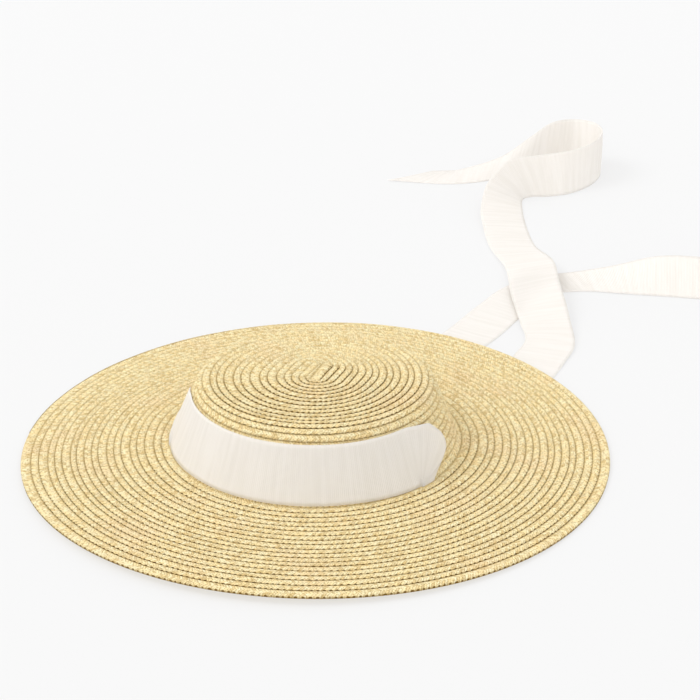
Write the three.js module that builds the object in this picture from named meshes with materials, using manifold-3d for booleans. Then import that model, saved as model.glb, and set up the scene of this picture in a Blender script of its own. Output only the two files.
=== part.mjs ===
import * as THREE from 'three';
import { mergeVertices } from 'three/addons/utils/BufferGeometryUtils.js';
import Module from 'manifold-3d';

// Driving dimensions in mm; heights are above the surface the hat lies on
const CROWN_HEIGHT = 45;
const BRIM_WIDTH = 100;
const FOOT_RADIUS = 95;
const FOOT_HEIGHT = 9;
const STRAW = 2;
const SIDE_EDGE_HEIGHT = 2;
const FRONT_EDGE_LIFT = 4.1;
const RIBBON_WIDTH = 38;
const RIBBON_THICKNESS = 1;
const GAP = 0.3;
const TOP_HEIGHT = FOOT_HEIGHT + CROWN_HEIGHT;
const ORIGIN_HEIGHT = TOP_HEIGHT - STRAW;

// Slots through the brim at the foot, measured from the hat's right side
const SLOT_FRONT = -26.3;
const SLOT_BACK = -19;
const SLOT_RADIUS = 96.7;
const SLOT_WIDTH = 2.4;
const SPLIT_HEIGHT = 8;

const CROWN_SEGMENTS = 72;
const BRIM_SEGMENTS = 96;

const wasm = await Module();
wasm.setup();

const rad = THREE.MathUtils.degToRad;

function polar(degrees, radius, height) {
  return new THREE.Vector3(radius * Math.cos(rad(degrees)), radius * Math.sin(rad(degrees)), height);
}

// Closed body through a row of loops: either a ring of them or a run with two end caps
function loft(loops, ring) {
  const count = loops[0].length;
  const positions = loops.flat().flatMap((p) => [p.x, p.y, p.z]);
  const index = [];
  const steps = ring ? loops.length : loops.length - 1;
  for (let i = 0; i < steps; i += 1) {
    const here = i * count;
    const next = ((i + 1) % loops.length) * count;
    for (let j = 0; j < count; j += 1) {
      const k = (j + 1) % count;
      index.push(here + j, next + j, next + k, here + j, next + k, here + k);
    }
  }
  if (!ring) {
    const last = (loops.length - 1) * count;
    for (let j = 1; j < count - 1; j += 1) {
      index.push(0, j, j + 1, last, last + j + 1, last + j);
    }
  }
  const geometry = new THREE.BufferGeometry();
  geometry.setAttribute('position', new THREE.Float32BufferAttribute(positions, 3));
  geometry.setIndex(index);
  return facingOut(geometry);
}

// Turns the triangles over where the enclosed volume comes out negative
function facingOut(geometry) {
  const p = geometry.attributes.position;
  const index = geometry.index;
  const [a, b, c] = [new THREE.Vector3(), new THREE.Vector3(), new THREE.Vector3()];
  let volume = 0;
  for (let i = 0; i < index.count; i += 3) {
    a.fromBufferAttribute(p, index.getX(i));
    b.fromBufferAttribute(p, index.getX(i + 1));
    c.fromBufferAttribute(p, index.getX(i + 2));
    volume += a.dot(b.cross(c));
  }
  if (volume < 0) {
    for (let i = 0; i < index.count; i += 3) {
      const second = index.getX(i + 1);
      index.setX(i + 1, index.getX(i + 2));
      index.setX(i + 2, second);
    }
  }
  return geometry;
}

function toManifold(geometry) {
  return new wasm.Manifold(new wasm.Mesh({
    numProp: 3,
    vertProperties: new Float32Array(geometry.attributes.position.array),
    triVerts: new Uint32Array(geometry.index.array),
  }));
}

function fromManifold(manifold) {
  const mesh = manifold.getMesh();
  const geometry = new THREE.BufferGeometry();
  geometry.setAttribute('position', new THREE.Float32BufferAttribute(mesh.vertProperties, 3));
  geometry.setIndex(Array.from(mesh.triVerts));
  return geometry;
}

// Outside of the crown: columns radius and height, from the middle of the flat top to the foot
const CROWN_OUTSIDE = [
  [0, TOP_HEIGHT],
  [36, TOP_HEIGHT],
  [70.5, TOP_HEIGHT],
  [73.6, TOP_HEIGHT - 0.6],
  [76.3, TOP_HEIGHT - 2.1],
  [78.3, TOP_HEIGHT - 4.4],
  [79.5, TOP_HEIGHT - 7.4],
  [84.6, TOP_HEIGHT - 19.8],
  [89.7, TOP_HEIGHT - 32.2],
  [FOOT_RADIUS - 0.1, FOOT_HEIGHT + GAP],
];

// Inside of the crown, one straw thickness in, from the foot back to the middle
const CROWN_INSIDE = [
  [FOOT_RADIUS - 2.3, FOOT_HEIGHT + GAP],
  [87.5, TOP_HEIGHT - 33],
  [82.4, TOP_HEIGHT - 20.6],
  [77.4, TOP_HEIGHT - 8.2],
  [76.4, TOP_HEIGHT - 5.5],
  [74.9, TOP_HEIGHT - 3.6],
  [72.7, TOP_HEIGHT - 2.4],
  [70, TOP_HEIGHT - STRAW],
  [36, TOP_HEIGHT - STRAW],
  [0, TOP_HEIGHT - STRAW],
];

function makeCrown() {
  const profile = [...CROWN_OUTSIDE, ...CROWN_INSIDE].map(([r, h]) => new THREE.Vector2(r, h));
  const lathe = new THREE.LatheGeometry(profile, CROWN_SEGMENTS);
  lathe.rotateX(Math.PI / 2);
  lathe.deleteAttribute('normal');
  lathe.deleteAttribute('uv');
  const merged = mergeVertices(lathe, 1e-3);
  const kept = [];
  for (let i = 0; i < merged.index.count; i += 3) {
    const [a, b, c] = [merged.index.getX(i), merged.index.getX(i + 1), merged.index.getX(i + 2)];
    if (a !== b && b !== c && c !== a) {
      kept.push(a, b, c);
    }
  }
  merged.setIndex(kept);
  return facingOut(merged);
}

// Height of the brim's upper face: level at the foot, lower at the sides than front and back
function brimTop(degrees, radius) {
  const edge = SIDE_EDGE_HEIGHT + FRONT_EDGE_LIFT * (1 - Math.cos(2 * rad(degrees))) / 2;
  const out = THREE.MathUtils.clamp((radius - FOOT_RADIUS - 2) / (BRIM_WIDTH - 2), 0, 1);
  const eased = out < 0.2 ? out * out * 2.5 : out - 0.1 + 0.1 * (out - 0.2) / 0.8;
  return FOOT_HEIGHT + (edge - FOOT_HEIGHT) * eased;
}

const BRIM_RADII = [FOOT_RADIUS - 2.6, 99, 105, 112, 122, 138, 156, 175, FOOT_RADIUS + BRIM_WIDTH];

function makeBrim() {
  const loops = [];
  for (let i = 0; i < BRIM_SEGMENTS; i += 1) {
    const degrees = 360 * i / BRIM_SEGMENTS;
    const upper = BRIM_RADII.map((r) => polar(degrees, r, brimTop(degrees, r)));
    const lower = BRIM_RADII.map((r) => polar(degrees, r, brimTop(degrees, r) - STRAW)).reverse();
    loops.push([...upper, ...lower]);
  }
  const right = makeSlotCutter(SLOT_FRONT, SLOT_BACK);
  const left = makeSlotCutter(180 - SLOT_BACK, 180 - SLOT_FRONT);
  return fromManifold(toManifold(loft(loops, true)).subtract(right).subtract(left));
}

function makeSlotCutter(from, to) {
  const loops = [];
  const steps = 6;
  for (let i = 0; i <= steps; i += 1) {
    const degrees = from - 0.7 + (to - from + 1.4) * i / steps;
    loops.push([
      polar(degrees, SLOT_RADIUS - SLOT_WIDTH / 2, FOOT_HEIGHT - 5),
      polar(degrees, SLOT_RADIUS + SLOT_WIDTH / 2, FOOT_HEIGHT - 5),
      polar(degrees, SLOT_RADIUS + SLOT_WIDTH / 2, FOOT_HEIGHT + 3),
      polar(degrees, SLOT_RADIUS - SLOT_WIDTH / 2, FOOT_HEIGHT + 3),
    ]);
  }
  return toManifold(loft(loops, false));
}

// Strip of ribbon through stations of three points: one edge, the middle and the other edge
function makeStrip(stations) {
  const half = RIBBON_THICKNESS / 2;
  const loops = stations.map((points, i) => {
    const before = stations[Math.max(i - 1, 0)];
    const after = stations[Math.min(i + 1, stations.length - 1)];
    const along = after[0].clone().add(after[2]).sub(before[0]).sub(before[2]);
    const across = points[2].clone().sub(points[0]);
    const normal = across.cross(along).normalize().multiplyScalar(half);
    return [
      ...points.map((p) => p.clone().add(normal)),
      ...points.map((p) => p.clone().sub(normal)).reverse(),
    ];
  });
  return loft(loops, false);
}

// Point of the ribbon on the crown's wall: along is degrees, up is mm along the slope
const WALL_LEAN = { out: 0.3817, up: 0.9244 };

function onWall(degrees, up, off) {
  const radius = FOOT_RADIUS + 0.75 - WALL_LEAN.out * up + WALL_LEAN.up * off;
  return polar(degrees, radius, FOOT_HEIGHT + 0.8 + WALL_LEAN.up * up + WALL_LEAN.out * off);
}

// Where the ribbon turns down into a slot: the lower edge goes in first and the upper edge sweeps
// round after it. Columns degrees, up and off for the lower edge, then for the upper edge.
const TURN_DOWN = [
  [-26.8, 0, 0, -26, 37.9, 0],
  [-26.6, 0, 0, -20.8, 36.4, 0.2],
  [-26.4, 0, 0.1, -15.8, 34.8, 0.7],
  [-26.3, 0, 0.2, -11.8, 33, 1.3],
  [-26.2, 0, 0.3, -8.4, 27.6, 1.9],
  [-26.1, -0.1, 0.4, -6, 22.6, 2.3],
  [-26, -0.2, 0.5, -5.2, 17.3, 2.4],
  [-26, -0.4, 0.6, -6.2, 13, 2.4],
  [-26, -0.6, 0.6, -9.4, 9.6, 2.1],
  [-26, -0.8, 0.6, -13, 6.2, 1.6],
  [-26, -1, 0.7, -16.4, 3, 1.2],
];

function mirror(p) {
  return new THREE.Vector3(-p.x, p.y, p.z);
}

// Stations from the middle of the front to the right slot: upper, middle and lower points
function rightHalfOfBand() {
  const stations = [];
  for (let degrees = -90; degrees <= -27; degrees += 3) {
    stations.push([RIBBON_WIDTH, RIBBON_WIDTH / 2, 0].map((up) => onWall(degrees, up, 0)));
  }
  TURN_DOWN.forEach(([d0, up0, off0, d1, up1, off1]) => {
    stations.push([
      onWall(d1, up1, off1),
      onWall((d0 + d1) / 2, (up0 + up1) / 2, (off0 + off1) / 2),
      onWall(d0, up0, off0),
    ]);
  });
  const inSlot = [[-18.9, 10.2, 8.75], [-19.3, SPLIT_HEIGHT + GAP / 2, SPLIT_HEIGHT + GAP / 2]];
  inSlot.forEach(([degrees, upper, lower]) => {
    stations.push([
      polar(degrees, SLOT_RADIUS, upper),
      polar((degrees - 26) / 2, SLOT_RADIUS, (upper + lower) / 2),
      polar(-26, SLOT_RADIUS, lower),
    ]);
  });
  return stations;
}

function makeBand() {
  const right = rightHalfOfBand();
  const left = right.slice(1).map((points) => points.map(mirror)).reverse();
  return makeStrip([...left, ...right]);
}

// Tails as they lie, from the slot to the free end: columns left edge x, y, height and right
// edge x, y, height, looking along the tail, for a ribbon 40 wide. The left edge is then brought
// in to the ribbon's own width, and in the slot the middle follows the slot's curve.
const TABLE_WIDTH = 40;
const SLOT_BULGE = [0.17, 0.15, 0.1];

const RIGHT_TAIL = [
  [91.46, -31.41, SPLIT_HEIGHT - GAP / 2, 86.91, -42.39, SPLIT_HEIGHT - GAP / 2],
  [92, -31.5, 4.6, 87.6, -42.8, 4.6],
  [94.6, -31, 2, 91, -43.5, 2],
  [99.5, -27, 0.8, 99, -44, 0.8],
  [104, -19, 0.6, 113, -41, 0.6],
  [109, -7, 0.6, 131, -32, 0.6],
  [112.5, 9, 0.6, 146, -12, 0.6],
  [110, 44, 0.6, 149, 37, 0.6],
  [98, 85, 0.6, 137, 95, 0.6],
  [84, 138, 0.6, 124, 143, 0.6],
  [85, 183, 0.8, 125, 181, 0.8],
  [87, 208, 1.4, 126, 210, 1.8],
  [76, 236, 2.6, 113, 250, 6],
  [55, 287, 3.2, 93, 300, 12],
  [37, 338, 2.6, 75, 352, 9],
  [11, 384, 0.8, 49, 397, 1.2],
  [-4, 420, 2.5, 32, 436, 0.8],
  [-15, 453, 9, 19, 472, 0.6],
  [-16, 480, 22, 12, 498, 0.6],
  [-4, 508, 35, 17, 509, 0.6],
  [17, 530, 34.5, 31, 515, 0.6],
  [39, 546, 35.5, 46, 527, 0.6],
  [52, 562, 36.5, 56, 544, 0.6],
  [59, 583, 38, 62, 568, 0.6],
  [56, 608, 39, 60, 594, 0.6],
  [44, 624, 39, 48, 610, 0.6],
  [27, 628, 38.5, 30, 613, 0.6],
  [11, 617, 38, 12, 600, 0.6],
  [-6, 601, 27, -7, 570, 0.6],
  [-28, 580, 11, -27, 541, 0.6],
  [-58, 561, 1.5, -56, 520, 0.6],
  [-84, 548, 0.6, -117, 508, 0.6],
];

const LEFT_TAIL = [
  [-91.46, -31.41, SPLIT_HEIGHT - GAP / 2, -86.91, -42.39, SPLIT_HEIGHT - GAP / 2],
  [-91, -31.6, 4.6, -86.3, -42.5, 4.6],
  [-88.5, -31.2, 2, -83.5, -43, 2],
  [-84, -28.5, 0.8, -76, -44.5, 0.8],
  [-79, -22, 0.6, -65, -43, 0.6],
  [-73, -9, 0.6, -51.5, -33, 0.6],
  [-65, 8, 0.6, -36.5, -17, 0.6],
  [-50, 42, 0.6, -16, 21, 0.6],
  [-22, 88, 0.6, 12, 67, 0.6],
  [3, 137, 0.6, 39, 119, 0.6],
  [19, 182, 0.6, 57, 170, 0.6],
  [29, 224, 0.6, 68, 214, 0.6],
  [36, 264, 0.6, 74, 251, 0.6],
  [45, 304, 0.6, 80, 284, 0.6],
  [63, 335, 0.6, 92, 308, 0.6],
  [91, 352, 1.6, 111, 318, 0.6],
  [122, 357, 10, 136, 322, 0.6],
  [157, 360, 22, 165, 327, 0.6],
  [190, 364, 24, 198, 332, 0.6],
  [222, 372, 20, 231, 338, 0.6],
  [255, 382, 10, 264, 344, 0.6],
  [282, 390, 1, 305, 352, 0.6],
];

function makeTail(table, steps) {
  const rightPoints = table.map((row) => new THREE.Vector3(row[3], row[4], row[5]));
  const leftPoints = table.map((row, i) => {
    return new THREE.Vector3(row[0], row[1], row[2]).lerp(rightPoints[i], 1 - RIBBON_WIDTH / TABLE_WIDTH);
  });
  const middlePoints = leftPoints.map((leftPoint, i) => {
    const point = leftPoint.clone().add(rightPoints[i]).multiplyScalar(0.5);
    const outward = new THREE.Vector3(point.x, point.y, 0).normalize();
    return point.addScaledVector(outward, SLOT_BULGE[i] ?? 0);
  });
  const left = new THREE.CatmullRomCurve3(leftPoints);
  const middle = new THREE.CatmullRomCurve3(middlePoints);
  const right = new THREE.CatmullRomCurve3(rightPoints);
  const stations = [];
  for (let i = 0; i <= steps; i += 1) {
    const points = [left, middle, right].map((curve) => curve.getPoint(i / steps));
    points.forEach((p) => {
      p.z = Math.max(p.z, RIBBON_THICKNESS / 2 + 0.05);
    });
    stations.push(points);
  }
  return makeStrip(stations);
}

const group = new THREE.Group();
group.name = 'flat_top_straw_hat';

function addPart(name, geometry, colour, roughness) {
  geometry.translate(0, 0, -ORIGIN_HEIGHT);
  const material = new THREE.MeshStandardMaterial({ color: colour, roughness, metalness: 0 });
  const mesh = new THREE.Mesh(geometry, material);
  mesh.name = name;
  group.add(mesh);
}

addPart('crown', makeCrown(), 0xe9d6a0, 0.8);
addPart('brim', makeBrim(), 0xe9d6a0, 0.8);
addPart('ribbon_band', makeBand(), 0xefe9df, 0.55);
addPart('ribbon_tail_right', makeTail(RIGHT_TAIL, 84), 0xf5f3ec, 0.55);
addPart('ribbon_tail_left', makeTail(LEFT_TAIL, 66), 0xf5f3ec, 0.55);

export default group;
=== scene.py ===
"""Flat-top straw hat lying on a pale surface, its long tie ribbon loose behind it."""

import bpy
import numpy as np
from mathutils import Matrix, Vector


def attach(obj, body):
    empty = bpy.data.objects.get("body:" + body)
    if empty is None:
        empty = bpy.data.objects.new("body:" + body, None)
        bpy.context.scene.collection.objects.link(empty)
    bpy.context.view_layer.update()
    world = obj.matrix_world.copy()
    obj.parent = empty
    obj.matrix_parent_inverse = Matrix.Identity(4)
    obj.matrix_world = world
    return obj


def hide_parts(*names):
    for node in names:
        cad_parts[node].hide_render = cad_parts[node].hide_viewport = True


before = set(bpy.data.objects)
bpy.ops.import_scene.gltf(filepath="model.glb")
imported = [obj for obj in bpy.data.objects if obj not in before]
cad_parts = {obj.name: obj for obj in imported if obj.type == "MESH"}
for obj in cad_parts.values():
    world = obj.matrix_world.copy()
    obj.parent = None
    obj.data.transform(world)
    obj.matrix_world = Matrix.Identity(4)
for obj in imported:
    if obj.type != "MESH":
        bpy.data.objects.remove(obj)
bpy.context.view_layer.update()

# Sizes of the hat in mm. Heights count from the surface that it lies on.
FOOT_RADIUS = 95.0
FOOT_HEIGHT = 9.0
RIM_RADIUS = 74.0       # about where the crown's flat top rounds off into its wall
TOP_HEIGHT = 54.0
BRIM_RADIUS = 195.0
LEVEL_REACH = 2.0       # the brim's face is level this far out from the foot
SIDE_EDGE = 2.0         # height of the brim's face at its side edges
EDGE_LIFT = 4.1         # how much higher its front and back edges are
ORIGIN_HEIGHT = 52.0    # inside face of the flat top

# The rows of the braid, and the place of some row edges on the brim in mm from the foot
CROWN_ROWS = 24
BRIM_ROWS = 19
ALL_ROWS = CROWN_ROWS + BRIM_ROWS
BRIM_LINES = [(0, 0), (3, 17.0), (6, 32.6), (10, 52.6), (13, 66.6), (16, 81.4), (18, 92.2), (19, 99.1)]
WOBBLE = 0.3            # how far a hand-guided row strays to either side
PLAIT = 3.7             # length of one tooth of the plait
COLUMN = PLAIT / 5      # spacing of the mesh columns along the braid
ROW_WIDE = 0.005        # metres that one row's width counts as in its UV map

# The straight start of the spiral, in the middle of the flat top
START_HALF = 11.5       # half its length
START_WIDE = 7.0
START_FADE = 30.0       # distance over which the rows round off outward
START_AT = (1.5, 7.0)   # its middle

# The right slot, in degrees from the hat's right side and below zero to the front. The left slot
# mirrors it.
SLOT_MIDDLE = -22.6
SLOT_HALF = 4.2         # half its length in degrees
SLOT_FADE = 3.0         # degrees past a slot's end over which its rows close up again
SLOT_PUSH = 1.3         # how far the first brim row stands off at a slot
PUSH_REACH = 4.0        # the push falls to a third over this distance outward

RIBBON_WIDTH = 38.0
RIBBON_THICKNESS = 0.5
RIBBON_STEP = 1.6       # spacing of the mesh stations along the ribbon
RIBBON_ACROSS = 15      # mesh points over its width


def smooth(x, low, high):
    """Smoothstep: 0 below low, 1 above high, 3t^2 - 2t^3 between."""
    t = np.clip((x - low) / (high - low), 0, 1)
    return t * t * (3 - 2 * t)


def metres(points):
    """Points in mm above the surface become metres in the part's frame."""
    out = np.array(points, dtype=float)
    out[..., 2] -= ORIGIN_HEIGHT
    return out / 1000


# Mesh helpers
def mesh_object(name, vertices, quads, uv, caps=()):
    """One mesh from whole arrays: vertices (n, 3) in metres, quads (m, 4), uv (m, 4, 2), and the end
    caps as lists of vertex numbers."""
    faces = np.asarray(quads, dtype=np.int32)
    cap_sizes = [len(c) for c in caps]
    corner = np.concatenate([faces.ravel()] + [np.asarray(c, dtype=np.int32) for c in caps])
    totals = np.concatenate([np.full(len(faces), 4, dtype=np.int32), np.array(cap_sizes, dtype=np.int32)])
    starts = np.concatenate([[0], np.cumsum(totals)[:-1]]).astype(np.int32)
    mesh = bpy.data.meshes.new(name)
    mesh.vertices.add(len(vertices))
    mesh.vertices.foreach_set("co", np.asarray(vertices, dtype=np.float32).ravel())
    mesh.loops.add(len(corner))
    mesh.loops.foreach_set("vertex_index", corner)
    mesh.polygons.add(len(totals))
    mesh.polygons.foreach_set("loop_start", starts)
    mesh.update(calc_edges=True)
    mesh.validate()
    mesh.polygons.foreach_set("use_smooth", np.ones(len(totals), dtype=bool))
    layer = mesh.uv_layers.new(name="braid" if "straw" in name else "weave")
    flat = np.zeros((len(corner), 2), dtype=np.float32)
    flat[: faces.size] = np.asarray(uv, dtype=np.float32).reshape(-1, 2)
    layer.data.foreach_set("uv", flat.ravel())
    obj = bpy.data.objects.new(name, mesh)
    bpy.context.scene.collection.objects.link(obj)
    return obj


def tube_faces(columns, around):
    """Quads of a closed loop of `around` points carried along `columns` stations, and the end caps."""
    i = np.arange(columns - 1)[:, None]
    j = np.arange(around)[None, :]
    k = (j + 1) % around
    quads = np.stack([i * around + j, i * around + k, (i + 1) * around + k, (i + 1) * around + j], axis=-1)
    first = list(range(around))[::-1]
    last = [(columns - 1) * around + n for n in range(around)]
    return quads.reshape(-1, 4), (first, last)


def tube_object(name, loops, u, v):
    """A closed tube from loops (stations, points round, 3) in mm. Its UV map has u at the stations and
    v round the loop, both in metres, and the last v closes the loop."""
    columns, around = loops.shape[:2]
    quads, caps = tube_faces(columns, around)
    i = np.repeat(np.arange(columns - 1), around)
    j = np.tile(np.arange(around), columns - 1)
    corners = [(u[i], v[j]), (u[i], v[j + 1]), (u[i + 1], v[j + 1]), (u[i + 1], v[j])]
    uv = np.stack([np.stack(pair, -1) for pair in corners], axis=1)
    return mesh_object(name, metres(loops).reshape(-1, 3), quads, uv, caps)


# Straw braid
def brim_top(turned, radius):
    """Height of the brim's face: level at the foot, and lowest at the side edges. The slope sets in
    gently, as a parabola over the first fifth of the way out, and is even from there on."""
    edge = SIDE_EDGE + EDGE_LIFT / 2 * (1 - np.cos(2 * turned))
    out = np.clip((radius - FOOT_RADIUS - LEVEL_REACH) / (BRIM_RADIUS - FOOT_RADIUS - LEVEL_REACH), 0, 1)
    eased = np.where(out < 0.2, out * out * 2.5, out - 0.1 + 0.1 * (out - 0.2) / 0.8)
    return FOOT_HEIGHT + (edge - FOOT_HEIGHT) * eased


def running_mean(line, width):
    """A polyline with each point replaced by the mean of its neighbours over an odd number of samples."""
    half = width // 2
    padded = np.concatenate([np.repeat(line[:1], half, 0), line, np.repeat(line[-1:], half, 0)])
    kernel = np.ones(width) / width
    return np.column_stack([np.convolve(padded[:, n], kernel, mode="valid") for n in (0, 1)])


# The meridian runs level along the brim at this height, and brim_top then gives the real one
MERIDIAN_BRIM = 8.9


def make_meridian():
    """Outline of the hat from the middle of the top to the edge, as radius and height in steps of
    0.25 mm, and its length. The corners are rounded by a running mean over 13 of them, and the foot of
    the crown, 104 to 112 mm along, by one over 21."""
    corners = np.array([[0, TOP_HEIGHT], [70.5, TOP_HEIGHT], [73.6, 53.4], [76.3, 51.9], [78.3, 49.6],
                        [79.5, 46.6], [84.6, 34.2], [89.7, 21.8], [94.5, 10.2], [95.4, MERIDIAN_BRIM],
                        [100.0, MERIDIAN_BRIM], [BRIM_RADIUS, MERIDIAN_BRIM]])
    step = np.hypot(*np.diff(corners, axis=0).T)
    along = np.concatenate([[0], np.cumsum(step)])
    fine = np.arange(0, along[-1], 0.25)
    line = np.column_stack([np.interp(fine, along, corners[:, n]) for n in (0, 1)])
    at_foot = smooth(fine, 104, 112)[:, None]
    line = running_mean(line, 13) * (1 - at_foot) + running_mean(line, 21) * at_foot
    line[0, 0] = 0
    along = np.concatenate([[0], np.cumsum(np.hypot(*np.diff(line, axis=0).T))])
    return line, along


MERIDIAN, MERIDIAN_ALONG = make_meridian()
SEAM_RADIUS = 95.9      # the row edge between crown and brim, on which both slots lie
EDGE_INSET = 0.4        # the outermost row edge stays this far inside the brim's radius
START_OVERLAP = 0.2     # the first turn begins this far under the straight start
FOOT_ALONG = float(np.interp(SEAM_RADIUS, MERIDIAN[:, 0], MERIDIAN_ALONG))
EDGE_ALONG = float(MERIDIAN_ALONG[-1]) - EDGE_INSET
START_ALONG = START_WIDE / 2 - START_OVERLAP
CROWN_PITCH = (FOOT_ALONG - START_ALONG) / CROWN_ROWS
BEHIND = 0.6            # part of a turn that lies behind the two slots
TOTAL_TURNS = ALL_ROWS + BEHIND


def row_line(turn):
    """Meridian length of a row's outer edge after so many turns. The spiral advances evenly near the
    middle, and further out only behind the two slots, so that a row edge meets both slots. On the brim
    the rows lie at the distances of BRIM_LINES. Each row strays on two slow waves, as a sewing hand
    does, but for the first row, the last one and the seam of crown and brim."""
    whole = np.floor(turn)
    stepped = whole + smooth(turn - whole, 0, BEHIND)
    blend = smooth(turn, 4.0, 11.0)
    count = np.maximum(turn * (1 - blend) + stepped * blend, 0)
    rows, widths = np.array(BRIM_LINES).T
    brim = np.interp(count - CROWN_ROWS, rows, widths) * (EDGE_ALONG - FOOT_ALONG) / widths[-1]
    stray = WOBBLE * (np.sin(2 * np.pi * 0.37 * turn + 1) + 0.7 * np.sin(2 * np.pi * 1.63 * turn))
    settled = smooth(count, 1, 4) * smooth(np.abs(count - CROWN_ROWS), 0.2, 2)
    settled = settled * smooth(ALL_ROWS - count, 0.5, 3)
    return START_ALONG + CROWN_PITCH * np.minimum(count, CROWN_ROWS) + brim + stray * settled


def ring_point(length, part):
    """Plan position of a point that far along the meridian, at that part of a turn: an offset curve of
    the short straight start, fading to a circle round the hat's axis at the rim of the crown. The curve
    is a quarter of the straight, half a circle, the other straight, half a circle, and the last quarter."""
    radius = np.interp(length, MERIDIAN_ALONG, MERIDIAN[:, 0])
    half = START_HALF * np.exp(-radius / START_FADE) * (1 - smooth(radius, 60, RIM_RADIUS))
    run = part * (2 * np.pi * radius + 4 * half)
    arc = np.pi * radius
    safe = np.maximum(radius, 1e-6)
    one, two, three, four = half, half + arc, 3 * half + arc, 3 * half + 2 * arc
    far = (run - one) / safe
    near = (run - three) / safe
    where = [run < one, run < two, run < three, run < four]
    x = np.select(where, [radius, radius * np.cos(far), -radius, -radius * np.cos(near)], radius)
    y = np.select(where, [run, half + radius * np.sin(far), half - (run - two),
                          -half - radius * np.sin(near)], -half + (run - four))
    turned = np.radians(SLOT_MIDDLE) * smooth(radius, 20, RIM_RADIUS)
    inner = 1 - smooth(radius, 0, RIM_RADIUS)
    return (x * np.cos(turned) - y * np.sin(turned) + START_AT[0] * inner,
            x * np.sin(turned) + y * np.cos(turned) + START_AT[1] * inner)


# Cross-section of the braid: how far across from the row's inner to its outer edge, height over the
# row's face in mm, share of the teeth's outward push, and share of the plait's relief. It reaches 0.36
# of a row in under the row before, as one braid is sewn onto the next.
SECTION = np.array([[-0.36, -1.88, 0, 0], [-0.02, -1.22, 0, 0], [0.10, -0.68, 0, 0.4], [0.32, -0.22, 0, 1],
                    [0.58, -0.02, 0, 1], [0.82, -0.05, 0.3, 1], [0.97, -0.34, 1, 0.4], [0.955, -1.24, 0.9, 0],
                    [0.70, -1.76, 0.3, 0], [-0.36, -2.10, 0, 0]])
ACROSS, HIGH, TEETH, RELIEF = SECTION.T
# Place of each section point round the section, in row widths: 0 to 1 over the face, then down the lip
# and back along the underside, and the last number closes the loop
ROUND = np.array([-0.36, -0.02, 0.10, 0.32, 0.58, 0.82, 0.97, 1.10, 1.28, 2.34, 2.40])
ROW_MIDDLE = 0.55       # place across the row where the chevrons meet
SLANT = 1.1             # teeth that a strand runs on by over one row width
TOOTH_OUT = 0.07        # how far a tooth reaches out, in row widths
RELIEF_HIGH = 0.16      # mm that a chevron rises over the row's face
NARROWEST = 0.02        # least width of a row in mm

# The outermost row. No next row hides its lip, which shows the whole thickness of the straw, and its
# teeth and chevrons are flatter.
EDGE_DROP = np.array([0, 0, 0, 0, 0, 0, 0, -0.82, -0.28, 0])
EDGE_TEETH = 0.25
EDGE_RELIEF = 0.5
EDGE_OVER = 0.5         # its teeth reach at most this far past the outermost row edge

# The groove between two rows, in mm: it is deeper on the crown, where the braid is drawn tight
GROOVE = np.array([0, 1, 1, 0, 0, 0, 0, 1, 0, 0])
CROWN_DEEPER, BRIM_SHALLOWER = -0.14, 0.14

# What the plaiter's hand does along the braid, as sine waves: height, length over 2 pi in mm, and phase
TOOTH_DRIFT = [(0.16, 8.3, 0), (0.12, 4.7, 2)]              # teeth that a tooth comes early
TOOTH_SIZE = [(0.4, 6.1, 0)]                                # change of a tooth's reach
FACE_DRIFT = [(0.10, 37.0, 0), (0.07, 11.3, 1.7)]           # mm that the face lies higher


def waves(length, table):
    """Sum of the table's sine waves at those places along the braid."""
    return sum(high * np.sin(length / wide + phase) for high, wide, phase in table)


def spiral_stations(from_turn, to_turn):
    """Evenly spaced stations on one stretch of the spiral: their lengths along it and their turns. The
    length is summed over 60000 short chords of the whole spiral's outer edge."""
    dense = np.linspace(0, TOTAL_TURNS, 60000)
    x, y = ring_point(row_line(dense), dense % 1.0)
    run = np.concatenate([[0], np.cumsum(np.hypot(np.diff(x), np.diff(y)))])
    first, last = np.round(np.interp([from_turn, to_turn], dense, run) / COLUMN) * COLUMN
    length = np.arange(first, last + COLUMN / 2, COLUMN)
    return length, np.interp(length, run, dense)


def slot_opening(degrees):
    """1 beside the middle of a slot and 0 well past its ends, eased between. The bearing is mirrored
    for the left slot."""
    mirrored = (180 - degrees) % 360 - 360
    off = np.minimum(np.abs(degrees - SLOT_MIDDLE), np.abs(mirrored - SLOT_MIDDLE))
    return 1 - smooth(off, SLOT_HALF - 0.2, SLOT_HALF + SLOT_FADE)


def on_hat(at, part, height, brim_row):
    """Points that far along the meridian, at that part of a turn and that high over the hat's face. The
    meridian's own slope gives the direction that the face looks. Rows of the brim that pass a slot
    stand off from it, and the push dies away over the next rows."""
    x, y = ring_point(at, part)
    radius = np.hypot(x, y)
    angle = np.arctan2(y, x)
    on_brim = smooth(at, FOOT_ALONG - 1.0, FOOT_ALONG + 3.0)
    z = np.interp(at, MERIDIAN_ALONG, MERIDIAN[:, 1]) + on_brim * (brim_top(angle, radius) - MERIDIAN_BRIM)

    slope = np.column_stack([np.gradient(MERIDIAN[:, 0]), np.gradient(MERIDIAN[:, 1])])
    slope /= np.hypot(slope[:, 0], slope[:, 1])[:, None]
    out = np.interp(at, MERIDIAN_ALONG, -slope[:, 1])
    up = np.interp(at, MERIDIAN_ALONG, slope[:, 0])

    fall = np.exp(-np.maximum(at - FOOT_ALONG, 0) / PUSH_REACH)
    push = np.where(brim_row, SLOT_PUSH * slot_opening(np.degrees(angle)) * fall, 0)
    scale = (radius + out * height + push) / np.maximum(radius, 1e-6)
    return np.stack([x * scale, y * scale, z + up * height], axis=-1)


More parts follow.
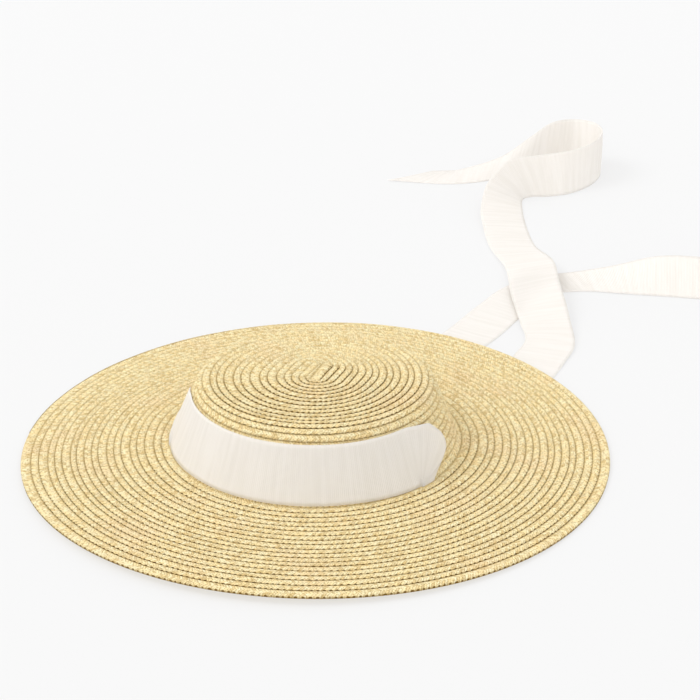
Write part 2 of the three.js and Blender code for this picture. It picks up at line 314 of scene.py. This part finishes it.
def braid(name, from_turn, to_turn):
    """One stretch of the braid as a closed flat tube. The cross-section is carried along the spiral
    between the row's inner edge, which is the outer edge one turn before, and its outer edge. Each tooth
    pushes the lip out as a cosine of its count, and the plait's chevrons lift the face as a cosine too."""
    length, turn = spiral_stations(from_turn, to_turn)
    outer = row_line(turn)
    inner = np.where(turn < 1, START_ALONG, row_line(np.maximum(turn - 1, 0)))
    inner = np.minimum(inner, outer - NARROWEST)
    # rows stray, so the outermost row and the brim's rows are told apart with a little slack
    edge = (outer > EDGE_ALONG - 1)[:, None]
    brim_row = (inner >= FOOT_ALONG - 0.8)[:, None]

    count = length / PLAIT + waves(length, TOOTH_DRIFT)
    tooth = (np.cos(2 * np.pi * count) * (0.8 + waves(length, TOOTH_SIZE)))[:, None]
    across = ACROSS + TOOTH_OUT * TEETH * tooth * np.where(edge, EDGE_TEETH, 1)
    chevron = np.cos(2 * np.pi * (count[:, None] + SLANT * np.abs(across - ROW_MIDDLE)))
    lift = RELIEF_HIGH * chevron * np.where(edge, EDGE_RELIEF, 1) + waves(length, FACE_DRIFT)[:, None]
    height = HIGH + RELIEF * lift + EDGE_DROP * edge
    height = height + GROOVE * np.where(brim_row, BRIM_SHALLOWER, CROWN_DEEPER)

    at = np.minimum(inner[:, None] + across * (outer - inner)[:, None], EDGE_ALONG + EDGE_OVER)
    points = on_hat(at, (turn % 1.0)[:, None], height, brim_row)
    return tube_object(name, points, count * PLAIT / 1000, ROUND * ROW_WIDE)


# Section of the straight start: how far across it in half widths, and height over the flat top in mm
START_ACROSS = np.array([-1.0, -0.97, -0.7, -0.3, 0.1, 0.5, 0.85, 1.0, 0.9, -0.9])
START_DOME = np.array([-1.30, -0.45, 0.02, 0.16, 0.18, 0.10, -0.20, -0.60, -1.70, -1.80])
START_TEETH = 0.08      # how far its teeth reach out, in half widths


def braid_start():
    """The straight first piece of the braid in the middle of the top: the section is a flat dome whose
    half width follows the square root of a rounded end, and its teeth show at both edges."""
    reach = START_HALF + START_WIDE / 2
    length = np.arange(-reach, reach + COLUMN / 2, COLUMN)
    into_end = np.clip((np.abs(length) - START_HALF) / (START_WIDE / 2 + 0.01), 0, 1)
    half = START_WIDE / 2 * np.sqrt(np.clip(1 - into_end ** 2, 0.02, 1))[:, None]
    tooth = np.cos(2 * np.pi * length / PLAIT)[:, None]
    chevron = np.cos(2 * np.pi * (length[:, None] / PLAIT + SLANT * np.abs(START_ACROSS) / 2))
    x = START_AT[0] + half * START_ACROSS * (1 + START_TEETH * tooth)
    y = START_AT[1] + length[:, None] * np.ones_like(x)
    z = TOP_HEIGHT + START_DOME + RELIEF_HIGH * chevron * (START_DOME > -0.5)
    points = np.stack([x, y, z], axis=-1)
    return tube_object("straw_start", points, (length + reach) / 1000, ROUND * ROW_WIDE)


# Ribbon
# The crown's wall leans in by LEAN_OUT for each LEAN_UP that it rises. The ribbon's lower edge lies at
# this radius and height, about 1 mm off the wall's outline.
LEAN_OUT, LEAN_UP = 0.3817, 0.9244
LOWER_RADIUS = FOOT_RADIUS + 0.75
LOWER_HEIGHT = FOOT_HEIGHT + 0.8
EDGE_SINK = 0.95        # how far the lower edge sinks behind the first brim row on its way to the slot
RIGHT_BULGE, LEFT_BULGE = 1.0, 0.2      # the ribbon stands off the wall less at the left slot


def polar(degrees, radius, height):
    """A point from its bearing in degrees, counted from the hat's right side, its radius and height."""
    a = np.radians(degrees)
    return np.array([radius * np.cos(a), radius * np.sin(a), height])


def on_wall(degrees, up, off):
    """A point on the leaning wall: mm up the slope from the ribbon's lower edge, and mm off it."""
    return polar(degrees, LOWER_RADIUS - LEAN_OUT * up + LEAN_UP * off,
                 LOWER_HEIGHT + LEAN_UP * up + LEAN_OUT * off)


# Where the ribbon turns down into a slot: the lower edge goes in first and the upper edge sweeps round
# after it. Columns degrees, up and off for the lower edge, then for the upper edge.
TURN_DOWN = [
    [-26.8, 0, 0, -26, 37.9, 0],
    [-26.6, 0, 0, -20.8, 36.4, 0.2],
    [-26.4, 0, 0.1, -15.8, 34.8, 0.7],
    [-26.3, 0, 0.2, -11.8, 33, 1.3],
    [-26.2, 0, 0.3, -8.4, 27.6, 1.9],
    [-26.1, -0.1, 0.4, -6, 22.6, 2.3],
    [-26, -0.2, 0.5, -5.2, 17.3, 2.4],
    [-26, -0.4, 0.6, -6.2, 13, 2.4],
    [-26, -0.6, 0.6, -9.4, 9.6, 2.1],
    [-26, -0.8, 0.6, -13, 6.2, 1.6],
    [-26, -1, 0.7, -16.4, 3, 1.2],
]


# Last station, in the mouth of the slot: degrees, radius and height of upper edge, middle, lower edge
SLOT_MOUTH = [(-18.9, 96.7, 10.2), (-22.45, 96.7, 9.5), (-26, 96.7, 8.75)]


def half_band(bulge):
    """Stations of the ribbon from the middle of the front into the right slot: upper edge, middle and
    lower edge. The turn starts with that share of its lift off the wall, the bulge, and has the whole
    of it once the lower edge is down in the slot."""
    rows = []
    for d in range(-90, -26, 3):
        sink = EDGE_SINK * float(smooth(d, -60, -30))
        rows.append([on_wall(d, up, 0) for up in (RIBBON_WIDTH, RIBBON_WIDTH / 2, -sink)])
    for d0, up0, off0, d1, up1, off1 in TURN_DOWN:
        lift = bulge + (1 - bulge) * smooth(-up0, 0.3, 1.0)
        middle = on_wall((d0 + d1) / 2, (up0 + up1) / 2, (off0 + off1 * lift) / 2)
        rows.append([on_wall(d1, up1, off1 * lift), middle, on_wall(d0, min(up0, -EDGE_SINK), off0)])
    rows.append([polar(*point) for point in SLOT_MOUTH])
    return rows


# Tails as they lie, from the slot to the free end: left edge x, y, height and right edge x, y, height,
# for a ribbon 40 wide. The left edge is then brought in to the ribbon's own width.
TABLE_WIDTH = 40.0
# The slot is curved, so the middle of the first stations stands out by this much in mm
SLOT_BOW = np.array([0.17, 0.15, 0.1])
RIGHT_TAIL = [
    [91.46, -31.41, 7.8, 86.91, -42.39, 7.8],
    [92, -31.5, 4.6, 87.6, -42.8, 4.6],
    [94.6, -31, 2, 91, -43.5, 2],
    [99.5, -27, 0.8, 99, -44, 0.8],
    [104, -19, 0.6, 113, -41, 0.6],
    [109, -7, 0.6, 131, -32, 0.6],
    [112.5, 9, 0.6, 146, -12, 0.6],
    [110, 44, 0.6, 149, 37, 0.6],
    [98, 85, 0.6, 137, 95, 0.6],
    [84, 138, 0.6, 124, 143, 0.6],
    [85, 183, 0.8, 125, 181, 0.8],
    [87, 208, 1.4, 126, 210, 1.8],
    [76, 236, 2.6, 113, 250, 6],
    [55, 287, 3.2, 93, 300, 12],
    [37, 338, 2.6, 75, 352, 9],
    [11, 384, 0.8, 49, 397, 1.2],
    [-4, 420, 2.5, 32, 436, 0.8],
    [-15, 453, 9, 19, 472, 0.6],
    [-16, 480, 22, 12, 498, 0.6],
    [-4, 508, 35, 17, 509, 0.6],
    [17, 530, 34.5, 31, 515, 0.6],
    [39, 546, 35.5, 46, 527, 0.6],
    [52, 562, 36.5, 56, 544, 0.6],
    [59, 583, 38, 62, 568, 0.6],
    [56, 608, 39, 60, 594, 0.6],
    [44, 624, 39, 48, 610, 0.6],
    [27, 628, 38.5, 30, 613, 0.6],
    [11, 617, 38, 12, 600, 0.6],
    [-6, 601, 27, -7, 570, 0.6],
    [-28, 580, 11, -27, 541, 0.6],
    [-58, 561, 1.5, -56, 520, 0.6],
    [-84, 548, 0.6, -117, 508, 0.6],
]

LEFT_TAIL = [
    [-91.46, -31.41, 7.8, -86.91, -42.39, 7.8],
    [-91, -31.6, 4.6, -86.3, -42.5, 4.6],
    [-88.5, -31.2, 2, -83.5, -43, 2],
    [-84, -28.5, 0.8, -76, -44.5, 0.8],
    [-79, -22, 0.6, -65, -43, 0.6],
    [-73, -9, 0.6, -51.5, -33, 0.6],
    [-65, 8, 0.6, -36.5, -17, 0.6],
    [-50, 42, 0.6, -16, 21, 0.6],
    [-22, 88, 0.6, 12, 67, 0.6],
    [3, 137, 0.6, 39, 119, 0.6],
    [19, 182, 0.6, 57, 170, 0.6],
    [29, 224, 0.6, 68, 214, 0.6],
    [36, 264, 0.6, 74, 251, 0.6],
    [45, 304, 0.6, 80, 284, 0.6],
    [63, 335, 0.6, 92, 308, 0.6],
    [91, 352, 1.6, 111, 318, 0.6],
    [122, 357, 10, 136, 322, 0.6],
    [157, 360, 22, 165, 327, 0.6],
    [190, 364, 24, 198, 332, 0.6],
    [222, 372, 20, 231, 338, 0.6],
    [255, 382, 10, 264, 344, 0.6],
    [282, 390, 1, 305, 352, 0.6],
]


def tail_stations(table):
    """Stations of a tail: left edge, middle and right edge."""
    t = np.array(table, dtype=float)
    right = t[:, 3:]
    left = right + (t[:, :3] - right) * (RIBBON_WIDTH / TABLE_WIDTH)
    middle = (left + right) / 2
    out = middle[:3].copy()
    out[:, 2] = 0
    out /= np.linalg.norm(out, axis=1)[:, None]
    middle[:3] += out * SLOT_BOW[:, None]
    return np.stack([left, middle, right], axis=1)


def spline(points, at, wanted):
    """Cubic curve through points at the given parameters: each slope is the weighted mean of the chords
    on its two sides."""
    gap = np.diff(at)
    chord = np.diff(points, axis=0) / gap[:, None]
    slope = np.empty_like(points)
    slope[1:-1] = (chord[:-1] * gap[1:, None] + chord[1:] * gap[:-1, None]) / (gap[1:] + gap[:-1])[:, None]
    slope[0], slope[-1] = chord[0], chord[-1]
    k = np.clip(np.searchsorted(at, wanted) - 1, 0, len(at) - 2)
    h = gap[k][:, None]
    t = ((wanted - at[k]) / gap[k])[:, None]
    return ((1 + 2 * t) * (1 - t) ** 2 * points[k] + t * (1 - t) ** 2 * h * slope[k]
            + t * t * (3 - 2 * t) * points[k + 1] + t * t * (t - 1) * h * slope[k + 1])


def steps(points):
    """Distances from each point to the next."""
    return np.linalg.norm(np.diff(points, axis=0), axis=-1)


def ribbon_stations():
    """All stations from the left tail's free end round the crown to the right tail's, and how far along
    the ribbon each lies, as a sum of steps. A step is the mean of the middle's own and the longest of
    the three, and at least 0.5 mm."""
    right_half = np.array(half_band(RIGHT_BULGE))
    left_half = np.array(half_band(LEFT_BULGE))[1:][::-1] * np.array([-1, 1, 1])
    stations = np.concatenate([tail_stations(LEFT_TAIL)[::-1], left_half, right_half,
                               tail_stations(RIGHT_TAIL)])
    longest = steps(stations).max(axis=1)
    advance = np.maximum(longest * 0.5 + 0.5 * steps(stations[:, 1]), 0.5)
    return stations, np.concatenate([[0], np.cumsum(advance)])


def make_ribbon():
    """The whole ribbon as one sheet, and its length in metres. At each place along it a parabola joins
    edge, middle and edge, and the sheet is half its thickness to either side of that surface."""
    stations, at = ribbon_stations()
    along = np.arange(0, at[-1], RIBBON_STEP)
    left, middle, right = (spline(stations[:, n], at, along) for n in range(3))
    v = np.linspace(-1, 1, RIBBON_ACROSS)[None, :, None]
    straight = v * (right - left)[:, None] / 2
    sheet = middle[:, None] + straight + v * v * ((left + right) / 2 - middle)[:, None]
    run = np.concatenate([[0], np.cumsum(steps(sheet[:, RIBBON_ACROSS // 2]))])
    normal = np.cross(np.gradient(sheet, axis=1), np.gradient(sheet, axis=0))
    normal /= np.maximum(np.linalg.norm(normal, axis=2), 1e-9)[:, :, None]

    # small lazy ripples and a slight bow on the loose tails, and none on the crown or under the brim
    loose = smooth(np.hypot(sheet[..., 0], sheet[..., 1]), 200, 240)
    ripple = 0.5 * np.sin(run / 23.0)[:, None] * np.cos(1.3 * v[..., 0] + run[:, None] / 61.0) * loose
    bow = 0.35 * loose * (1 - v[..., 0] ** 2)
    sheet = sheet + normal * (ripple + bow)[..., None]
    half = RIBBON_THICKNESS / 2
    sheet[..., 2] = np.maximum(sheet[..., 2], half + 0.15)

    loops = np.concatenate([sheet + normal * half, (sheet - normal * half)[:, ::-1]], axis=1)
    face = (v[0, :, 0] + 1) * RIBBON_WIDTH / 2000
    ribbon = tube_object("tie_ribbon", loops, run / 1000, np.concatenate([face, face[::-1], face[:1]]))
    return ribbon, float(run[-1]) / 1000


# Shader groups
def group_tree(name, inputs, outputs):
    """An empty node group. Each input is a number with its default, or a vector where that is None, and
    each output is a number."""
    tree = bpy.data.node_groups.new(name, "ShaderNodeTree")
    for key, default in inputs.items():
        kind = "NodeSocketVector" if default is None else "NodeSocketFloat"
        socket = tree.interface.new_socket(key, in_out="INPUT", socket_type=kind)
        if default is not None:
            socket.default_value = default
    for key in outputs:
        tree.interface.new_socket(key, in_out="OUTPUT", socket_type="NodeSocketFloat")
    return tree, tree.nodes.new("NodeGroupInput"), tree.nodes.new("NodeGroupOutput")


def feed(tree, socket, value):
    """Link a socket to another node's output, or set it to a number or a colour."""
    if isinstance(value, bpy.types.NodeSocket):
        tree.links.new(value, socket)
    else:
        socket.default_value = value


def maths(tree, operation, *values):
    """A Math node fed by sockets or numbers."""
    node = tree.nodes.new("ShaderNodeMath")
    node.operation = operation
    for slot, value in enumerate(values):
        feed(tree, node.inputs[slot], value)
    return node.outputs[0]


def times(tree, a, b):
    """Product of two sockets or numbers."""
    return maths(tree, "MULTIPLY", a, b)


def arch(tree, value):
    """0 where the value is whole and 1 half way between, as a half sine."""
    return maths(tree, "SINE", times(tree, maths(tree, "FRACT", value), np.pi))


def mixed(tree, factor, a, b):
    """A colour Mix node fed by sockets, numbers or colours."""
    node = tree.nodes.new("ShaderNodeMix")
    node.data_type = "RGBA"
    for slot, value in ((0, factor), (6, a), (7, b)):
        feed(tree, node.inputs[slot], value)
    return node.outputs[2]


def noise(tree, vector, scale, detail=2.0, rough=0.5):
    """Smooth noise at a position."""
    node = tree.nodes.new("ShaderNodeTexNoise")
    node.inputs["Scale"].default_value = scale
    node.inputs["Detail"].default_value = detail
    node.inputs["Roughness"].default_value = rough
    tree.links.new(vector, node.inputs["Vector"])
    return node.outputs["Fac"]


def white_noise(tree, vector):
    """One random value for each value of a vector."""
    node = tree.nodes.new("ShaderNodeTexWhiteNoise")
    tree.links.new(vector, node.inputs["Vector"])
    return node.outputs["Value"]


def ramp(tree, value, low, high, to_low=0.0, to_high=1.0):
    """Smoothstep from to_low at low to to_high at high."""
    node = tree.nodes.new("ShaderNodeMapRange")
    node.interpolation_type = "SMOOTHSTEP"
    for slot, given in enumerate((value, low, high, to_low, to_high)):
        feed(tree, node.inputs[slot], given)
    return node.outputs[0]


def combine(tree, x, y, z=0.0):
    """A vector from three sockets or numbers."""
    node = tree.nodes.new("ShaderNodeCombineXYZ")
    for slot, value in enumerate((x, y, z)):
        feed(tree, node.inputs[slot], value)
    return node.outputs[0]


def scaled_uv(tree, given, along, across):
    """A group's UV, counted in the two lengths that those inputs give."""
    part = tree.nodes.new("ShaderNodeSeparateXYZ")
    tree.links.new(given.outputs["UV"], part.inputs[0])
    return (maths(tree, "DIVIDE", part.outputs[0], given.outputs[along]),
            maths(tree, "DIVIDE", part.outputs[1], given.outputs[across]))


STRANDS = 2.0           # strands of the plait to each tooth
UNDER_FROM = 1.2        # v past which the surface is the row's underside
UNDER_BACK = 1.14       # what is taken off v there, so that the underside shows the same plait


def plait_group():
    """Plaited straw from the braid's own u and v: strands run out from the row's middle to both edges
    like a herringbone, each with its own tone, painted shade in the crease beside it and fine fibres.
    Painted shade darkens the lip between its teeth, the groove beside it, the pits and the row edges."""
    masks = ["Height", "GapShade", "Tone", "Shade", "Seam", "PitShade", "EdgeShade", "Fibre"]
    tree, given, out = group_tree("plait", {"UV": None, "Tooth": PLAIT / 1000, "Row": ROW_WIDE}, masks)
    u, v_round = scaled_uv(tree, given, "Tooth", "Row")
    under = maths(tree, "GREATER_THAN", v_round, UNDER_FROM)
    v = maths(tree, "SUBTRACT", v_round, times(tree, under, UNDER_BACK))
    middle = maths(tree, "SUBTRACT", v, ROW_MIDDLE)
    half = maths(tree, "GREATER_THAN", middle, 0.0)
    side = maths(tree, "ABSOLUTE", middle)
    lag = times(tree, side, SLANT)
    slant = maths(tree, "ADD", u, lag)
    strands = times(tree, slant, STRANDS)
    strand = maths(tree, "FLOOR", strands)
    rise = arch(tree, strands)
    tone = white_noise(tree, combine(tree, strand, half))
    weight = white_noise(tree, combine(tree, strand, half, 7.0))
    fibre = noise(tree, combine(tree, times(tree, slant, 9.0), times(tree, side, 3.0)), 1.0, 3.0, 0.6)

    # painted shade in the creases beside the strands, heavier on some, and short dark flecks
    fleck = noise(tree, combine(tree, times(tree, u, 3.1), times(tree, v, 4.3)), 1.0, 1.0)
    seam = times(tree, ramp(tree, rise, 0.6, 0.05), ramp(tree, weight, 0.0, 1.0, 0.2, 1.0))
    seam = maths(tree, "MAXIMUM", seam, ramp(tree, fleck, 0.52, 0.63))

    # painted shade in the small pits where the two families of strands cross
    back = times(tree, maths(tree, "SUBTRACT", u, lag), STRANDS)
    pit = times(tree, ramp(tree, rise, 0.75, 0.15), ramp(tree, arch(tree, back), 0.75, 0.15))
    crossing = combine(tree, maths(tree, "ROUND", strands), maths(tree, "ROUND", back), half)
    pit = times(tree, pit, ramp(tree, white_noise(tree, crossing), 0.25, 0.85))

    # the gap between two teeth, longer in one place and shorter in the next; painted shade falls there on the
    # lip and its wall, and in the groove
    wave = maths(tree, "COSINE", times(tree, u, 2 * np.pi))
    uneven = noise(tree, combine(tree, times(tree, u, 0.9), maths(tree, "FLOOR", v)), 1.0, 1.0)
    open_here = maths(tree, "ADD", maths(tree, "MULTIPLY_ADD", wave, -0.5, 0.5),
                      maths(tree, "MULTIPLY_ADD", uneven, 2.2, -1.15))
    between = ramp(tree, open_here, 0.25, 0.8)
    groove = times(tree, ramp(tree, v, 0.13, 0.03), ramp(tree, between, 0.0, 1.0, 0.02, 0.3))
    lip = times(tree, ramp(tree, v, 0.968, 1.0), between)
    wall = times(tree, ramp(tree, v, 0.99, 1.03), ramp(tree, between, 0.0, 1.0, 0.5, 1.0))

    results = {
        "Height": maths(tree, "ADD", times(tree, rise, 0.8), times(tree, fibre, 0.35)),
        "GapShade": maths(tree, "MAXIMUM", groove, maths(tree, "MAXIMUM", lip, wall)),
        "Tone": tone,
        # darker strands at random, and painted shade on the row's inner edge under the row before
        "Shade": maths(tree, "MAXIMUM", ramp(tree, weight, 0.55, 1.0), ramp(tree, v, 0.22, 0.05)),
        "Seam": seam,
        "PitShade": pit,
        # painted shade on both edges of a row, where it rounds down, broken up by the fibres
        "EdgeShade": times(tree, ramp(tree, side, 0.2, 0.42), ramp(tree, fibre, 0.3, 0.65)),
        "Fibre": fibre,
    }
    for key in masks:
        tree.links.new(results[key], out.inputs[key])
    return tree


RIB_WIDE = 0.0012       # metres from rib to rib


def ribs_group():
    """Ribbed ribbon from its own u and v: fine ribs across the width, flatter at the woven edges, and
    soft uneven streaks."""
    sizes = {"UV": None, "Rib": RIB_WIDE, "Width": RIBBON_WIDTH / 1000}
    tree, given, out = group_tree("ribs", sizes, ["Height", "Streak"])
    u, v = scaled_uv(tree, given, "Rib", "Width")
    rib = maths(tree, "ABSOLUTE", maths(tree, "SINE", times(tree, u, np.pi)))
    streak = noise(tree, combine(tree, times(tree, u, 0.35), times(tree, v, 0.7)), 1.0, 3.0, 0.6)
    side = maths(tree, "ABSOLUTE", maths(tree, "SUBTRACT", v, 0.5))
    flat = ramp(tree, side, 0.47, 0.485, 0.0, 0.6)
    tree.links.new(times(tree, rib, maths(tree, "SUBTRACT", 1.0, flat)), out.inputs["Height"])
    tree.links.new(streak, out.inputs["Streak"])
    return tree


# Materials
def new_material(name):
    """A material, its node tree and its Principled shader."""
    material = bpy.data.materials.new(name)
    material.use_nodes = True
    tree = material.node_tree
    shader = next(n for n in tree.nodes if n.type == "BSDF_PRINCIPLED")
    return material, tree, shader


def place(tree, group, uv_name, **values):
    """A node group in a material, on the piece's UV map of that name and with the material's values."""
    node = tree.nodes.new("ShaderNodeGroup")
    node.node_tree = group
    uv = tree.nodes.new("ShaderNodeUVMap")
    uv.uv_map = uv_name
    tree.links.new(uv.outputs[0], node.inputs["UV"])
    for key, value in values.items():
        node.inputs[key].default_value = value
    return node


def bump(tree, shader, height, distance, strength):
    """Relief too fine for the mesh, as a Bump node with its distance in metres."""
    node = tree.nodes.new("ShaderNodeBump")
    node.inputs["Strength"].default_value = strength
    node.inputs["Distance"].default_value = distance
    tree.links.new(height, node.inputs["Height"])
    tree.links.new(node.outputs[0], shader.inputs["Normal"])


STRAW_LIGHT = (1.0, 0.91, 0.60, 1)
STRAW_GOLD = (1.0, 0.795, 0.41, 1)
STRAW_ORANGE = (0.97, 0.73, 0.46, 1)
# colour of the darker strands and of the painted shade on a row's inner edge
STRAW_SHADE = (0.60, 0.40, 0.15, 1)
# painted shade for the rounded edges of the rows
STRAW_EDGE_SHADE = (0.66, 0.52, 0.24, 1)
# painted shade for the creases and pits of the plait, and the colour of its dark flecks
STRAW_CREASE_SHADE_FLECK = (0.42, 0.26, 0.06, 1)
# painted shade on the lip between the teeth and in the groove beside it
STRAW_GAP_SHADE = (0.16, 0.078, 0.003, 1)
# Marks laid on the straw one after the other, all but the flecks and darker strands painted shade: the
# plait's mask, how strong it is, and its colour
STRAW_MARKS = [("Shade", 0.5, STRAW_SHADE), ("EdgeShade", 0.38, STRAW_EDGE_SHADE), ("Seam", 0.58, STRAW_CREASE_SHADE_FLECK),
               ("PitShade", 0.75, STRAW_CREASE_SHADE_FLECK), ("GapShade", 0.95, STRAW_GAP_SHADE)]

RIBBON_CREAM = (0.84, 0.795, 0.745, 1)
RIBBON_STREAK = (0.795, 0.75, 0.695, 1)


def straw_material(plait):
    """Pale straw: light and golden strands, a few orange patches, and the plait's marks, mostly painted
    shade.
    """
    material, tree, shader = new_material("plaited_straw")
    node = place(tree, plait, "braid", Tooth=PLAIT / 1000, Row=ROW_WIDE)
    where = tree.nodes.new("ShaderNodeTexCoord").outputs["Object"]
    patches = ramp(tree, noise(tree, where, 22.0, 3.0), 0.5, 0.75, 0.0, 0.4)
    colour = mixed(tree, times(tree, node.outputs["Tone"], 0.9), STRAW_LIGHT, STRAW_GOLD)
    colour = mixed(tree, patches, colour, STRAW_ORANGE)
    for mark, strength, tint in STRAW_MARKS:
        colour = mixed(tree, times(tree, node.outputs[mark], strength), colour, tint)
    tree.links.new(colour, shader.inputs["Base Color"])
    tree.links.new(ramp(tree, node.outputs["Fibre"], 0.2, 0.8, 0.5, 0.72), shader.inputs["Roughness"])
    shader.inputs["Specular IOR Level"].default_value = 0.06
    bump(tree, shader, node.outputs["Height"], 0.0005, 0.9)
    return material


def ribbon_material(ribs):
    """Cream ribbed ribbon with soft streaks, which lets a little light through."""
    material, tree, shader = new_material("ribbed_ribbon")
    node = place(tree, ribs, "weave", Rib=RIB_WIDE, Width=RIBBON_WIDTH / 1000)
    streak = node.outputs["Streak"]
    colour = mixed(tree, ramp(tree, streak, 0.3, 0.7), RIBBON_CREAM, RIBBON_STREAK)
    tree.links.new(colour, shader.inputs["Base Color"])
    tree.links.new(ramp(tree, streak, 0.3, 0.7, 0.42, 0.52), shader.inputs["Roughness"])
    shader.inputs["Specular IOR Level"].default_value = 0.3
    shader.inputs["Subsurface Weight"].default_value = 0.6
    shader.inputs["Subsurface Radius"].default_value = (1, 1, 1)
    shader.inputs["Subsurface Scale"].default_value = 0.0015
    bump(tree, shader, node.outputs["Height"], 0.0002, 0.6)
    return material


# Build
straw, cloth = straw_material(plait_group()), ribbon_material(ribs_group())

# The braid is cut between whole rows, so that no piece has 200,000 triangles
TOP_ROWS = 14
BRIM_CUT = 7
CUTS = [("straw_crown_top", 0.0, TOP_ROWS, "crown"),
        ("straw_crown_wall", TOP_ROWS, CROWN_ROWS, "crown"),
        ("straw_brim_inner", CROWN_ROWS, CROWN_ROWS + BRIM_CUT, "brim"),
        ("straw_brim_middle", CROWN_ROWS + BRIM_CUT, CROWN_ROWS + 2 * BRIM_CUT, "brim"),
        ("straw_brim_outer", CROWN_ROWS + 2 * BRIM_CUT, TOTAL_TURNS, "brim")]


def dress(piece, material, slot, *nodes):
    """Give a piece its material, and put it in the place of those nodes."""
    piece.data.materials.append(material)
    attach(piece, "root")
    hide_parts(*nodes)


dress(braid_start(), straw, "straw", "crown")
for name, start, stop, node in CUTS:
    dress(braid(name, start, stop), straw, "straw", node)

ribbon, ribbon_length = make_ribbon()
dress(ribbon, cloth, "ribbon", "ribbon_band", "ribbon_tail_right", "ribbon_tail_left")

# Stage, light and camera
FLOOR_HALF = 6                          # metres
FLOOR_Z = -ORIGIN_HEIGHT / 1000
FLOOR_GLOW = 0.605                      # light that the floor gives off, as a light table does
PICTURE_SIDE = 700                      # pixels
FOCAL_PIXELS = 2000                     # the lens's focal length, in the picture's pixels
SENSOR_WIDTH = 36                       # mm
CAMERA_AT = (0.4047, -1.1060, 0.6159 + FLOOR_Z)
CAMERA_TARGET = (-0.0295, 0.1550, FLOOR_Z)

scene = bpy.context.scene
corners = [(-FLOOR_HALF, -FLOOR_HALF, FLOOR_Z), (FLOOR_HALF, -FLOOR_HALF, FLOOR_Z),
           (FLOOR_HALF, FLOOR_HALF, FLOOR_Z), (-FLOOR_HALF, FLOOR_HALF, FLOOR_Z)]
floor_mesh = bpy.data.meshes.new("floor")
floor_mesh.from_pydata(corners, [], [(0, 1, 2, 3)])
floor = bpy.data.objects.new("floor", floor_mesh)
scene.collection.objects.link(floor)
paper, _, paper_shader = new_material("floor_paper")
paper_shader.inputs["Base Color"].default_value = (0.26, 0.26, 0.26, 1)
paper_shader.inputs["Emission Color"].default_value = (1, 1, 1, 1)
paper_shader.inputs["Emission Strength"].default_value = FLOOR_GLOW
paper_shader.inputs["Roughness"].default_value = 0.9
floor_mesh.materials.append(paper)

world = bpy.data.worlds.new("studio")
scene.world = world
world.use_nodes = True
background = world.node_tree.nodes["Background"]
background.inputs["Color"].default_value = (1, 1, 1, 1)
background.inputs["Strength"].default_value = 1.0


def add_sun(name, degrees, elevation, energy, spread):
    """A sun that shines from that bearing and elevation, in degrees; a wide spread gives soft shade."""
    sun = bpy.data.objects.new(name, bpy.data.lights.new(name, "SUN"))
    sun.data.energy = energy
    sun.data.angle = np.radians(spread)
    up = np.radians(elevation)
    toward = Vector(-polar(degrees, np.cos(up), np.sin(up)))
    sun.rotation_euler = toward.to_track_quat("-Z", "Y").to_euler()
    scene.collection.objects.link(sun)


add_sun("sun_left", 193, 46, 0.75, 30)
add_sun("fill_front", -85, 28, 0.35, 60)

camera = bpy.data.objects.new("camera", bpy.data.cameras.new("camera"))
camera.data.sensor_width = SENSOR_WIDTH
camera.data.lens = FOCAL_PIXELS / PICTURE_SIDE * SENSOR_WIDTH
camera.location = CAMERA_AT
camera.rotation_euler = (Vector(CAMERA_TARGET) - camera.location).to_track_quat("-Z", "Y").to_euler()
scene.collection.objects.link(camera)
scene.camera = camera
scene.view_settings.view_transform = "Standard"
